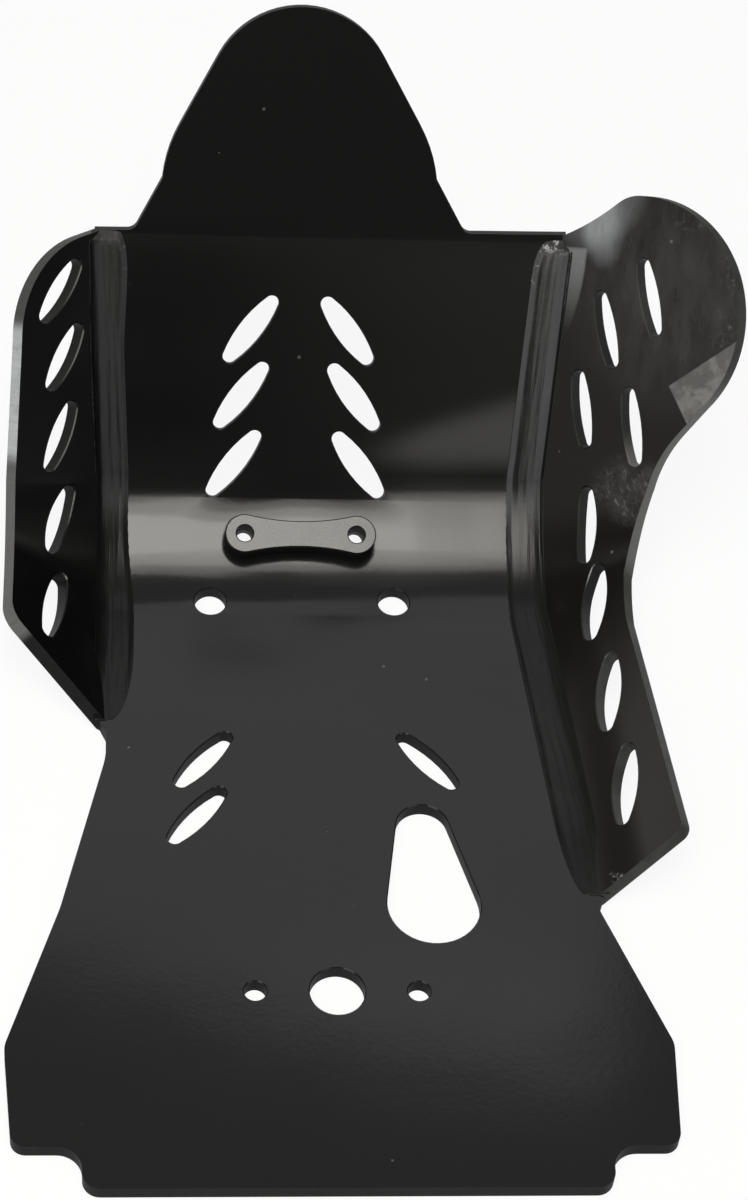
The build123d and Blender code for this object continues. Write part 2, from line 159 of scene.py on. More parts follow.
print("a weld is", PLATE_LEG, "m wide on the plate and", WING_LEG, "m up the wing")

# %% [markdown]
# The shoe leaves its marks on the skin: a small step where it pressed down the toe on the plate, faint lines
# dragged along by every scratch in it, and on the right a groove beside the wing. They are less than a
# millimetre high, but this is what catches the light, so they are modelled and not only painted on.

# %% What the shoe leaves on a weld
DRAG_LINE = 0.045 * MM
BROAD_LINES, BROAD_WANDER = 2, 0.23
FINE_LINES, FINE_WANDER, FINE_CHANGE = 4.5, 0.15, 0.11
SWELL = 0.06
TOE_WIDTH = 0.2
GROOVE_PLACE, GROOVE_WIDTH, GROOVE_EASE = 0.94, 0.02, 50 * MM


def shoe_marks(along, across, seed, toe, groove):
    """Height that is added to the skin, by distance along the corner and share of the way across.

    A step up at the plate's toe dies out towards the wing. Drag lines (cosines of unlike count that wander,
    and a slow swell) die out at both toes. A groove, a narrow bell across, sets in with the bend.
    """
    a, s = along[:, None], across[None, :]
    lines = 0.8 * np.cos(2 * np.pi * (BROAD_LINES * s + 0.1 * drift(a, seed, BROAD_WANDER)))
    fine = np.cos(2 * np.pi * (FINE_LINES * s + 0.2 * drift(a, seed + 1, FINE_WANDER)) + 1)
    lines = lines + (0.4 + 0.6 * drift(a, seed + 3, FINE_CHANGE)) * fine
    lines = lines + 0.7 * drift(a, seed + 2, SWELL)
    step = toe * smooth(s / TOE_WIDTH) * (1 - s) ** 2
    bell = np.exp(-(((s - GROOVE_PLACE) / GROOVE_WIDTH) ** 2))
    return step + DRAG_LINE * lines * np.sin(np.pi * s) - groove * smooth(a / GROOVE_EASE) * bell


print("drag lines are about", DRAG_LINE, "m high")

# %% [markdown]
# Now the profile can be carried along the path. The rows lie closer together at the two ends, where the shape
# changes fastest. The grid closes on itself under the skin, along the faces of the two sheets, so the mesh is
# a tube with a face over each end.

# %% The skin of a weld
WELD_ROWS, WELD_COLUMNS = 620, 60
CROWDING = 0.6
TAIL_GAP = 0.3 * MM
TAIL_RUN_OUT, HEAD_RUN_OUT, END_HEIGHT = 36 * MM, 5 * MM, 0.2


def weld_grid(side, seed, ends, slant, power, toe, groove, shift):
    """The weld's skin, as a grid of points: distance along the corner by place across the profile.

    Across, a point goes from the toe on the plate to the toe on the wing, and its height is a straight part
    (the slant) plus a power of the way across, plus the shoe's marks. The height fades at the tail and at
    the head. The way back runs under the skin along the two sheets.
    """
    tail = side.tail - TAIL_GAP
    even = np.linspace(0, 1, WELD_ROWS)
    along = -tail + (HEAD + tail) * ((1 - CROWDING) * even + CROWDING * (1 - np.cos(np.pi * even)) / 2)
    across = np.linspace(0, 1, WELD_COLUMNS)
    from_tail, from_head = along + tail, HEAD - along
    plate_leg, wing_leg = weld_legs(from_tail, from_head, along, ends, shift)

    start, stop = -plate_leg[:, None], wing_leg[:, None] * math.cos(side.flare)
    top = wing_leg[:, None] * math.sin(side.flare)
    out = start + (stop - start) * across
    height = top * (slant * across + (1 - slant) * across**power)
    fade = END_HEIGHT + (1 - END_HEIGHT) * smooth(from_tail / TAIL_RUN_OUT)
    fade = fade * (END_HEIGHT + (1 - END_HEIGHT) * smooth(from_head / HEAD_RUN_OUT))
    fade = fade[:, None]
    skin = np.stack([out, (height + shoe_marks(along, across, seed, toe, groove)) * fade], axis=-1)

    wing_back, plate_back = np.linspace(0.8, 0, 5), np.linspace(0.2, 0.8, 4)
    under = np.stack([stop * wing_back, top * wing_back * fade], axis=-1)
    floor = np.stack([start * plate_back, 0 * start * plate_back], axis=-1)
    section = np.concatenate([skin, under, floor], axis=1)
    root, normal = seam(side, along)
    sideways = np.array([side.hand, 0, 0])
    return root[:, None] + section[..., :1] * sideways + section[..., 1:] * normal[:, None]


left_bead = dict(seed=0.4, ends=(0.1, 0.66), slant=0.62, power=6, toe=0.4 * MM, groove=0, shift=0.24)
right_bead = dict(seed=2.2, ends=(0.4, 0.45), slant=0.6, power=3, toe=0.6 * MM, groove=0.8 * MM, shift=0)
left_grid = weld_grid(LEFT, **left_bead)
right_grid = weld_grid(RIGHT, **right_bead)
print("points in a weld's skin:", left_grid.shape[0], "by", left_grid.shape[1])

# %% [markdown]
# Each weld stands in for the plain solid of the same weld in the imported model. It is fixed to the same body,
# the root, so that anyone who swaps the plain solid for this one gets the same part.
# The left weld is laid out in mirror image, so its faces are wound the other way to point outwards.

# %% The two welds


def closed_mesh(name, grid, turn):
    """A tube from a grid whose columns close on themselves, with a face over each end, turned or not."""
    rows, columns = grid.shape[:2]
    index = np.arange(rows * columns).reshape(rows, columns)
    after = np.roll(index, -1, axis=1)
    faces = np.stack([index[:-1], after[:-1], after[1:], index[1:]], axis=-1).reshape(-1, 4)
    ends = [index[0, ::-1], index[-1]]
    if turn:
        faces = faces[:, ::-1]
        ends = [loop[::-1] for loop in ends]
    mesh = bpy.data.meshes.new(name)
    mesh.from_pydata(grid.reshape(-1, 3).tolist(), [], faces.tolist() + [loop.tolist() for loop in ends])
    mesh.polygons.foreach_set("use_smooth", np.ones(len(mesh.polygons), dtype=bool))
    mesh.update()
    return mesh


def add_piece(name, mesh, node):
    """Puts a mesh into the scene as a piece of the part that stands for one of its solids."""
    piece = bpy.data.objects.new(name, mesh)
    bpy.context.scene.collection.objects.link(piece)
    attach(piece, "root")
    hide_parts(node)
    return piece


left_weld = add_piece("left_weld", closed_mesh("left_weld", left_grid, True), "left_weld_bead")
right_weld = add_piece("right_weld", closed_mesh("right_weld", right_grid, False), "right_weld_bead")
for weld in (left_weld, right_weld):
    print(weld.name, "faces:", len(weld.data.polygons))

# %% [markdown]
# Shader maths reads best as arithmetic. This small class wraps one socket of a shader tree, and each operator
# adds the Math node that does the sum, so a mask can be written as an expression. Every other node comes from
# one method, which sets the node's own settings first and then its sockets.

# %% Shader values that add up


class Value:
    """A socket in a shader tree that can be added to, multiplied and so on as a number is."""

    def __init__(self, tree, socket=None):
        self.tree = tree
        self.socket = socket

    def node(self, kind, settings=None, sockets=None, output=0):
        """Adds a node of that kind. A Value is linked to its socket, and anything else is its number."""
        made = self.tree.nodes.new(kind)
        for key, value in (settings or {}).items():
            setattr(made, key, value)
        for key, value in (sockets or {}).items():
            if isinstance(value, Value):
                self.tree.links.new(value.socket, made.inputs[key])
            else:
                made.inputs[key].default_value = value
        return Value(self.tree, made.outputs[output])

    def math(self, operation, *others):
        """The Math node of that name, with this value first."""
        terms = dict(enumerate((self,) + others))
        return self.node("ShaderNodeMath", {"operation": operation}, terms)

    def __add__(self, other):
        return self.math("ADD", other)

    def __radd__(self, other):
        return self.math("ADD", other)

    def __sub__(self, other):
        return self.math("SUBTRACT", other)

    def __rsub__(self, other):
        return self.node("ShaderNodeMath", {"operation": "SUBTRACT"}, {0: other, 1: self})

    def __mul__(self, other):
        return self.math("MULTIPLY", other)

    def __rmul__(self, other):
        return self.math("MULTIPLY", other)

    def __truediv__(self, other):
        return self.math("DIVIDE", other)

    def __pow__(self, other):
        return self.math("POWER", other)

    def __abs__(self):
        return self.math("ABSOLUTE")

    def rise(self, low, high):
        """0 below low and 1 above high, with a smooth step between. A low above high falls instead."""
        turned = low > high
        ends = {"From Min": min(low, high), "From Max": max(low, high)}
        goes = {"To Min": float(turned), "To Max": float(not turned)}
        settings = {"interpolation_type": "SMOOTHSTEP"}
        return self.node("ShaderNodeMapRange", settings, {"Value": self, **ends, **goes})

    def band(self, centre, half, soft):
        """1 within half of the centre, falling to 0 over the soft width."""
        return abs(self - centre).rise(half + soft, half)

    def capped(self):
        """The value, but never above 1."""
        return self.math("MINIMUM", 1.0)


# %% [markdown]
# Every finish here is one black plastic in a different state: pressed, heated, sawn, sanded or rubbed. The
# states are told apart by masks, and this class holds the textures that the masks are worked out from. All of
# them read object coordinates, which are the part's own metres, so a mark stays where it is put.

# %% Textures that every finish uses
FINE_GRAIN = 420
SPECK_ODDS, SPECK_EDGE = (0.86, 0.99), 0.02


class Textures:
    """Coordinates and noises in one shader tree."""

    def __init__(self, tree):
        self.tree = tree
        self.start = Value(tree)
        self.place = self.start.node("ShaderNodeTexCoord", output="Object")
        self.x, self.y, self.z = self.parts(self.place)

    def parts(self, vector):
        """The three numbers of a vector."""
        return [self.start.node("ShaderNodeSeparateXYZ", {}, {0: vector}, name) for name in "XYZ"]

    def stretched(self, sizes, turn=(0, 0, 0)):
        """Object coordinates turned and divided by the sizes, for a texture longer one way than another."""
        sockets = {0: self.place, "Rotation": turn, "Scale": sizes}
        return self.start.node("ShaderNodeMapping", {"vector_type": "TEXTURE"}, sockets)

    def noise(self, scale, detail=3, rough=0.55, where=None):
        """Cloudy noise from 0 to 1, with features about one over the scale in size."""
        sockets = {"Vector": where or self.place, "Scale": scale, "Detail": detail, "Roughness": rough}
        return self.start.node("ShaderNodeTexNoise", {}, sockets)

    def specks(self, scale, size):
        """Small round spots of unlike size in a few cells of many: the nearest point's distance, limited."""
        sockets = {"Vector": self.place, "Scale": scale}
        near = self.start.node("ShaderNodeTexVoronoi", {}, sockets, "Distance")
        drawn = self.parts(self.start.node("ShaderNodeTexVoronoi", {}, sockets, "Color"))
        lucky = drawn[0].rise(*SPECK_ODDS)
        return (near - size * lucky).rise(SPECK_EDGE, -SPECK_EDGE) * lucky.rise(0.0, 0.05)


print("fine grain is about", round(1 / FINE_GRAIN / MM, 1), "mm in size")

# %% [markdown]
# A material here has a glossy shader for the faces of the sheet and, where a tool has cut it, a second and
# dull one. One shader whose sheen varies could do both, but the sheen is a value that can't be baked into
# a picture for other programs. So the two shaders are mixed by a mask, which can.

# %% A material with a glossy and a dull shader
PLASTIC_IOR = 1.54


def grey(level, warm=0.0):
    """A colour of that brightness, a little warm or cool."""
    return (level * (1 + warm), level, level * (1 - warm), 1)


class Finish(Textures):
    """A new material with its shaders, and the textures that its masks are worked out from."""

    def __init__(self, name):
        self.material = bpy.data.materials.new(name)
        self.material.use_nodes = True
        super().__init__(self.material.node_tree)
        self.shader = self.tree.nodes["Principled BSDF"]
        self.out = self.tree.nodes["Material Output"]

    def mix(self, amount, first, second):
        """A colour between two others."""
        return self.start.node("ShaderNodeMix", {"data_type": "RGBA"}, {0: amount, 6: first, 7: second}, 2)

    def bump(self, height, distance, below=None):
        """Height in the range 0 to 1 as a bump of that many metres."""
        sockets = {"Height": height, "Distance": distance}
        if below is not None:
            sockets["Normal"] = below
        return self.start.node("ShaderNodeBump", {}, sockets)

    def feed(self, shader=None, **sockets):
        """Links values to a shader's sockets, and sets those that are plain numbers."""
        for key, value in sockets.items():
            socket = (shader or self.shader).inputs[key.replace("_", " ")]
            if isinstance(value, Value):
                self.tree.links.new(value.socket, socket)
            else:
                socket.default_value = value

    def cut(self, mask, shine, **sockets):
        """A second, dull shader that shows where the mask is 1: plastic that a saw or a router has opened."""
        dull = self.tree.nodes.new("ShaderNodeBsdfPrincipled")
        self.feed(dull, Specular_IOR_Level=shine, **sockets)
        both = self.tree.nodes.new("ShaderNodeMixShader")
        self.tree.links.new(mask.socket, both.inputs[0])
        self.tree.links.new(self.shader.outputs[0], both.inputs[1])
        self.tree.links.new(dull.outputs[0], both.inputs[2])
        self.tree.links.new(both.outputs[0], self.out.inputs["Surface"])


print("refractive index of the plastic:", PLASTIC_IOR)

# %% [markdown]
# A cut wall can be told from a face by its normal: a face looks along the sheet's own normal, which turns
# with the bend, and a wall looks across it. The same turning frame gives a point's height over the inner face
# and its travel along the sheet, which is how a mark finds its place on a wing. The fine lines across a wall
# are the chatter of the router: noise that does not change in the direction of the sheet's normal.

# %% Faces and cut walls of the sheet
FACE_COSINE, WALL_COSINE = 0.84, 0.6
CHATTER_SCALE, CHATTER_DEPTH = 600, 0.12 * MM
WALL_ROUGH = 0.5
WALL_SHINE = 0.15


class Sheet:
    """The sheet's frame at a point: the normal, the height over the inner face and the distance along.

    Along is the distance past the bend: below 0 on the belly, 0 all round the bend, and above 0 on the
    panel. Travel is the distance from the end of the bend, followed round it along the sheet. On a wing,
    out is the distance from the plate's edge up the wing.
    """

    def __init__(self, finish, side=None):
        run = finish.y - BEND_START
        drop = AXIS_HEIGHT - finish.z
        angle = run.math("ARCTAN2", drop).math("MAXIMUM", 0.0).math("MINIMUM", BEND_ANGLE)
        sine, cosine = angle.math("SINE"), angle.math("COSINE")
        self.finish = finish
        self.angle = angle
        self.along = run * cosine - drop * sine
        self.height = BEND_RADIUS - run * sine - drop * cosine
        self.travel = self.along + (angle - BEND_ANGLE) * (BEND_RADIUS - self.height)
        self.normal = (0.0, -1 * sine, cosine)
        if side is not None:
            lean, stand = math.cos(side.flare), math.sin(side.flare)
            self.out = (finish.x * side.hand - side.half) * lean + self.height * stand
            self.normal = (-side.hand * stand, sine * -lean, cosine * lean)

    def wall(self):
        """1 on the cut walls of the sheet and 0 on its faces."""
        facing = self.finish.start.node("ShaderNodeNewGeometry", output="True Normal")
        x, y, z = self.finish.parts(facing)
        cosine = abs(x * self.normal[0] + y * self.normal[1] + z * self.normal[2])
        return cosine.rise(FACE_COSINE, WALL_COSINE)

    def chatter(self):
        """Fine lines across a cut wall, from 0 to 1: noise on coordinates flattened along the normal."""
        finish, start = self.finish, self.finish.start
        made = start.node("ShaderNodeCombineXYZ", {}, dict(enumerate(self.normal)))
        pair = {0: finish.place, 1: made}
        length = start.node("ShaderNodeVectorMath", {"operation": "DOT_PRODUCT"}, pair, "Value")
        step = start.node("ShaderNodeVectorMath", {"operation": "SCALE"}, {0: made, "Scale": length})
        flat = start.node("ShaderNodeVectorMath", {"operation": "SUBTRACT"}, {0: finish.place, 1: step})
        return finish.noise(CHATTER_SCALE, rough=0.6, where=flat)

    def rout(self, colour, lines, shine=WALL_SHINE):
        """Gives the cut walls their dull colour and the router's fine lines."""
        ridges = self.finish.bump(lines, CHATTER_DEPTH)
        self.finish.cut(self.wall(), shine, Base_Color=colour, Roughness=WALL_ROUGH, Normal=ridges)


print("a face is a cut wall below a cosine of", WALL_COSINE)

# %% [markdown]
# The plate is the sheet itself. The bend was warmed until it gave way, so it is a little uneven, dented over
# the spacer and twisted. That could be modelled in the solid, but it is so slight that it shows only in what
# the gloss mirrors, so bumps are enough, laid one on another.

# %% How uneven the plate is
SPACER_X = -7.5 * MM
SPACER_TILT = math.radians(29.3)
DENT_WIDE, DENT_TALL, DENT_DEPTH = 42 * MM, 24 * MM, 1.2 * MM
WAVE_DEPTH, LUMP_DEPTH = 0.4 * MM, 0.8 * MM
LUMP_SCALE = 17
TWIST = -0.33
PEEL_DEPTH = 0.015 * MM


def plate_skin(finish, sheet, wave):
    """Bumps of the plate: a slow wave, lumps and a twist in the warmed bend, a dent and a fine peel.

    The dent is a smooth step down inside an ellipse round the spacer, above it only. The twist's height is
    the place across times the travel along.
    """
    warmed = sheet.along.rise(-60 * MM, 0.0) * sheet.along.rise(70 * MM, 0.0)
    from_spacer = (finish.x - SPACER_X) / DENT_WIDE
    past_spacer = ((sheet.angle - SPACER_TILT) * BEND_RADIUS / DENT_TALL).math("MAXIMUM", 0.0)
    dent = (from_spacer**2 + past_spacer**2).rise(1.6, 0.0) * sheet.along.rise(-80 * MM, -10 * MM)
    skin = finish.bump(wave, WAVE_DEPTH)
    skin = finish.bump(warmed * (finish.noise(LUMP_SCALE, detail=1) - 0.5), LUMP_DEPTH, skin)
    skin = finish.bump(dent, -DENT_DEPTH, skin)
    skin = finish.bump(warmed * finish.x * sheet.travel, TWIST, skin)
    return finish.bump(finish.noise(FINE_GRAIN, detail=2), PEEL_DEPTH, skin)


print("the plate's dent is a bump of", DENT_DEPTH, "m")

# %% [markdown]
# The plate's faces keep the gloss of the press, with a few fine scratches and a speck of dust here and there.
# A wedge on the panel beside the bend stayed duller from the heat. The panel's colour is painted darker
# towards the left and a little paler towards the right.

# %% The plate's finish
PLATE_BLACK = grey(0.0054, 0.01)
PLATE_GLOSS = 0.12
PLATE_WALL, PLATE_WALL_SHINE = grey(0.022), 0.06
DUST = grey(0.22, 0.03)
WEDGE_DULL, WORN_DULL = 0.34, 0.12
RIGHT_PALING, DEEPENED = 0.02, 0.6


def dull_wedge(finish, sheet):
    """1 on the duller wedge: between two slanted lines that part towards the right."""
    low, high = 8 * MM + 0.05 * finish.x, 16 * MM + 0.3 * finish.x
    wedge = (sheet.along - low).rise(-16 * MM, 6 * MM) * (sheet.along - high).rise(2 * MM, -20 * MM)
    return wedge * finish.x.rise(-10 * MM, 60 * MM)


def plate_finish():
    """Glossy black over the belly, the bend and the panel, with scratches, dust and the duller wedge."""
    finish = Finish("plate_black")
    sheet = Sheet(finish)
    lines = sheet.chatter()
    cloud = finish.noise(14, detail=4)
    wave = finish.noise(9, detail=2)
    drawn_out = finish.stretched(sizes=(1, 0.12, 0.12), turn=(0, 0, 0.5))
    scratches = finish.noise(60, detail=5, rough=0.7, where=drawn_out)
    worn = (scratches - 0.62).rise(0.0, 0.1) * wave.rise(0.5, 0.7)
    dust = finish.specks(110, size=0.08)
    panel = sheet.along.rise(0.0, 30 * MM) * sheet.along.rise(115 * MM, 90 * MM)
    # Over the panel the colour is made a little paler towards the right, with the dust colour, and darker
    # towards the left.
    paler_right = RIGHT_PALING * panel * finish.x.rise(-20 * MM, 80 * MM)
    deepened = DEEPENED * panel * finish.x.rise(10 * MM, -70 * MM)

    base = finish.mix(dust * 0.3 + paler_right, PLATE_BLACK, DUST)
    base = finish.mix(deepened, base, grey(0.0))
    rough = PLATE_GLOSS + 0.05 * (cloud - 0.5) + WORN_DULL * worn + WEDGE_DULL * dull_wedge(finish, sheet)
    skin = plate_skin(finish, sheet, wave)
    finish.feed(Base_Color=base, Roughness=rough, Normal=skin, IOR=PLASTIC_IOR)
    sheet.rout(finish.mix(0.25 + 0.6 * lines, PLATE_BLACK, PLATE_WALL), lines, PLATE_WALL_SHINE)
    return finish.material


plate_black = plate_finish()
print("plate finish:", len(plate_black.node_tree.nodes), "nodes")

# %% [markdown]
# The wings are cut from the same sheet. The left one is clean, and its free edge was sanded pale along the
# straight stretch above the bend. That edge is found by its distance out from the plate, and round the upper
# corner by its distance from the corner's centre.

# %% The left wing's finish
LEFT_BLACK, LEFT_GLOSS = grey(0.0022), 0.17
LEFT_WALL = (grey(0.003), grey(0.009))
EDGE_GREY, LOW_EDGE_GREY, SANDED_GREY = grey(0.075), grey(0.15), grey(0.6, -0.04)
WING_CLOUD = 22
CORNER_OUT, CORNER_ALONG, CORNER_RADIUS = 3.3 * MM, 59.6 * MM, 43 * MM


def left_finish():
    """Deep black faces, and a free edge that is sanded pale along its upper stretch."""
    finish = Finish("left_wing_black")
    sheet = Sheet(finish, LEFT)
    lines = sheet.chatter()
    rough = LEFT_GLOSS + 0.08 * (finish.noise(WING_CLOUD, detail=4) - 0.5)
    skin = finish.bump(finish.noise(FINE_GRAIN, detail=2), PEEL_DEPTH)
    finish.feed(Base_Color=LEFT_BLACK, Roughness=rough, Normal=skin, IOR=PLASTIC_IOR)

    scuffs = finish.noise(90, detail=4, rough=0.7)
    rim = sheet.out.rise(40 * MM, 44 * MM)
    from_corner = ((sheet.out - CORNER_OUT) ** 2 + (sheet.along - CORNER_ALONG) ** 2).math("SQRT")
    corner = from_corner.rise(CORNER_RADIUS - 2 * MM, CORNER_RADIUS)
    free = (rim + corner * sheet.along.rise(55 * MM, 60 * MM)).capped()
    sanded = sheet.along.band(37 * MM, 24 * MM, 8 * MM) * scuffs.rise(0.1, 0.55)
    wall = finish.mix(0.1 + 0.6 * lines, *LEFT_WALL)
    edge = finish.mix(sheet.along.rise(20 * MM, 0.0), EDGE_GREY, LOW_EDGE_GREY)
    edge = finish.mix(sanded, edge, SANDED_GREY)
    sheet.rout(finish.mix(free * (0.75 + 0.4 * (lines - 0.5)), wall, edge), lines)
    return finish.material


left_black = left_finish()
print("left wing finish:", len(left_black.node_tree.nodes), "nodes")

# %% [markdown]
# The right wing has seen more use: smears and dust over the lobe, a whitish rub beside the middle slots,
# a scraped strip next to the weld, and a dull corner patch on the lobe. A pale glare beside the weld's head
# is a painted highlight. Every mark is a mask in the wing's own frame: the distance out from the plate's
# edge, and the travel along the sheet from the end of the bend. A mark is a soft spot or a soft box, broken
# up by noise, so that no two look stamped.

# %% Marks on the right wing
# A spot's place out and along, its half width and half height in millimetres, and its turn in radians.
LOBE = (68, 90, 68, 66)
# The glares are painted highlights: pale spots where the wing would mirror light beside the weld's head.
PAINTED_GLARES = [(0.45, (27, 119, 27, 17, 0.53)), (0.6, (27, 114, 13, 22, 0.2))]
RUB = (51, 0, 23, 18)
NICKS = (20.5, -206, 6, 4)
DUSTY_RIM = [(80, 118, 22, 10), (95, 98, 9, 16), (92, 72, 9, 14)]
PATCH_OUT, PATCH_ALONG = 66.7 * MM, 46.7 * MM
PATCH_EDGE = (0.83, 0.559)


def spot(sheet, out, travel, wide, tall, turn=0.0):
    """1 at a place on the wing, falling smoothly to 0 at a turned ellipse. Sizes are in millimetres."""
    across, upward = sheet.out - out * MM, sheet.travel - travel * MM
    cosine, sine = math.cos(turn), math.sin(turn)
    first = (across * cosine + upward * sine) / (wide * MM)
    second = (upward * cosine - across * sine) / (tall * MM)
    return (first**2 + second**2).rise(1.0, 0.0)


def scraped_strip(sheet):
    """1 on the strip beside the weld's head. Its outer edge is a parabola in the distance along."""
    edge = 20.2 * MM - 3.5 * MM * ((102.6 * MM - sheet.along) / (26 * MM)) ** 2
    strip = (sheet.out - edge).rise(0.8 * MM, -0.8 * MM) * sheet.along.rise(62 * MM, 102 * MM)
    return strip * sheet.along.rise(103.5 * MM, 101.5 * MM)


def corner_patch(sheet):
    """1 on the lobe's corner patch: past two lines that meet square at the patch's inner corner."""
    out, along = sheet.out - PATCH_OUT, sheet.along - PATCH_ALONG
    first = out * PATCH_EDGE[0] + along * PATCH_EDGE[1]
    second = out * PATCH_EDGE[1] - along * PATCH_EDGE[0]
    return first.rise(0.0, 0.6 * MM) * second.rise(0.0, 0.6 * MM) * sheet.along.rise(0.0, 4 * MM)


print("the corner patch starts", PATCH_OUT, "m out from the plate's edge")

# %% [markdown]
# With the marks at hand, the right wing's finish is a stack of colours: black first, then each mark mixed
# over it by its own strength. A rub or a patch is also duller than the black, and its grain stands up a
# little. The face is a trifle hollow beside the weld below the bend, which shows only in what it mirrors.

# %% The right wing's finish
RIGHT_BLACK, RIGHT_GLOSS = grey(0.006, 0.05), 0.2
PAINTED_GLARE_GREY, STRIP_GREY, PATCH_GREY = grey(0.45, -0.05), grey(0.22, -0.03), grey(0.23, 0.02)
RIGHT_WALL = (grey(0.003), grey(0.011))
PALE_WALL = (grey(0.02), grey(0.055))
NECK_GREY = grey(0.16)
WING_WAVE_DEPTH, HOLLOW_DEPTH, GRAIN_DEPTH = 0.5 * MM, 1.7 * MM, 0.06 * MM


def right_walls(finish, sheet, blotch):
    """Dark slot walls with a painted reflection that pales them below the bend, and a paler free edge, palest
    round the neck under the lobe.
    """
    lines = sheet.chatter()
    # Below the bend the walls are painted paler: a painted reflection of the light they would mirror.
    lower = sheet.along.rise(0.0, -20 * MM)
    free = sheet.out.rise(45 * MM, 50 * MM)
    neck = free * sheet.along.band(5 * MM, 30 * MM, 20 * MM)
    wall = finish.mix(0.2 + 0.6 * lines, *RIGHT_WALL)
    pale = finish.mix(0.3 + 0.7 * blotch.rise(0.35, 0.6), *PALE_WALL)
    wall = finish.mix((lower + free * 0.7).capped() * (0.5 + 0.6 * lines), wall, pale)
    sheet.rout(finish.mix(neck * 0.8, wall, NECK_GREY), lines)


def right_finish():
    """A used wing: smears, dust and rubs, a painted glare, and a dull corner patch on the lobe."""
    finish = Finish("right_wing_black")
    sheet = Sheet(finish, RIGHT)
    cloud = finish.noise(WING_CLOUD, detail=4)
    blotch = finish.noise(75, detail=4, rough=0.65)
    grain = finish.noise(FINE_GRAIN, detail=5, rough=0.75)
    smear = finish.noise(42, detail=5, rough=0.65, where=finish.stretched(sizes=(0.25, 1, 1.6)))
    drawn_out = finish.stretched(sizes=(0.3, 1, 0.3), turn=(0.6, 0, 0.7))
    scratches = finish.noise(210, detail=5, rough=0.75, where=drawn_out)

    lobe = spot(sheet, *LOBE)
    haze = lobe * (0.45 + 1.3 * (smear - 0.5) + 0.6 * (blotch - 0.5))
    painted_glare = sum(strength * spot(sheet, *place) for strength, place in PAINTED_GLARES)
    painted_glare = painted_glare.capped() * (0.7 + 0.9 * (smear - 0.5))
    strip = scraped_strip(sheet)
    rub = spot(sheet, *RUB) * (0.1 + 0.9 * blotch.rise(0.35, 0.65))
    rub = rub * (0.25 + 0.75 * scratches.rise(0.5, 0.68))
    nicks = spot(sheet, *NICKS) * grain.rise(0.5, 0.6)
    rim = sum(spot(sheet, *place) for place in DUSTY_RIM) * grain.rise(0.55, 0.7)
    patch = corner_patch(sheet)
    scraped = patch * (0.45 + 0.55 * blotch.rise(0.42, 0.6)) * (0.7 + 0.6 * (grain - 0.5))

    base = finish.mix(haze * 0.2, RIGHT_BLACK, DUST)
    # The glare is a painted highlight, a pale grey laid over the black.
    base = finish.mix(painted_glare * 0.7, base, PAINTED_GLARE_GREY)
    base = finish.mix(strip * 0.7, base, STRIP_GREY)
    dusty = [(rub, 0.6), (nicks, 0.8), (rim, 0.5), (finish.specks(150, size=0.11), 0.4)]
    for mark, strength in dusty:
        base = finish.mix(mark * strength, base, DUST)
    base = finish.mix(scraped, base, PATCH_GREY)
    rough = RIGHT_GLOSS + 0.1 * (cloud - 0.5) + 0.14 * lobe * smear + 0.3 * patch + 0.2 * rub + 0.2 * strip
    hollow = sheet.out.rise(36 * MM, 6 * MM) * sheet.travel.rise(-30 * MM, -70 * MM)
    skin = finish.bump(finish.noise(12, detail=2), WING_WAVE_DEPTH)
    skin = finish.bump(hollow, HOLLOW_DEPTH, skin)
    skin = finish.bump(grain * (patch + rub).capped(), GRAIN_DEPTH, skin)
    finish.feed(Base_Color=base, Roughness=rough, Normal=skin, IOR=PLASTIC_IOR)
    right_walls(finish, sheet, blotch)
    return finish.material


right_black = right_finish()
print("right wing finish:", len(right_black.node_tree.nodes), "nodes")

# %% [markdown]
# A weld is the sheet's own plastic, melted and pressed. It comes out a little glossier in some places and
# duller in others, with fine lines dragged along it: noise on the distance across the seam, which changes
# only slowly on the way along. Where it runs out thin up the wing it comes close to the wing's own black.
# At the top, where the welder lifts off, it is duller and a few thin flakes stay pale, mostly on the right.

# %% The welds' finish
WELD_GLOSS, WELD_SHINE = 0.24, 0.3
WELD_GREYS = (grey(0.006), grey(0.011, 0.02))
DRAG_BLACK, FLAKE_GREY = grey(0.003), grey(0.4)
DRAG_SCALE, DRAG_STRETCH = 330, 0.04
DRAG_DEPTH, FINE_DEPTH = 0.2 * MM, 0.04 * MM


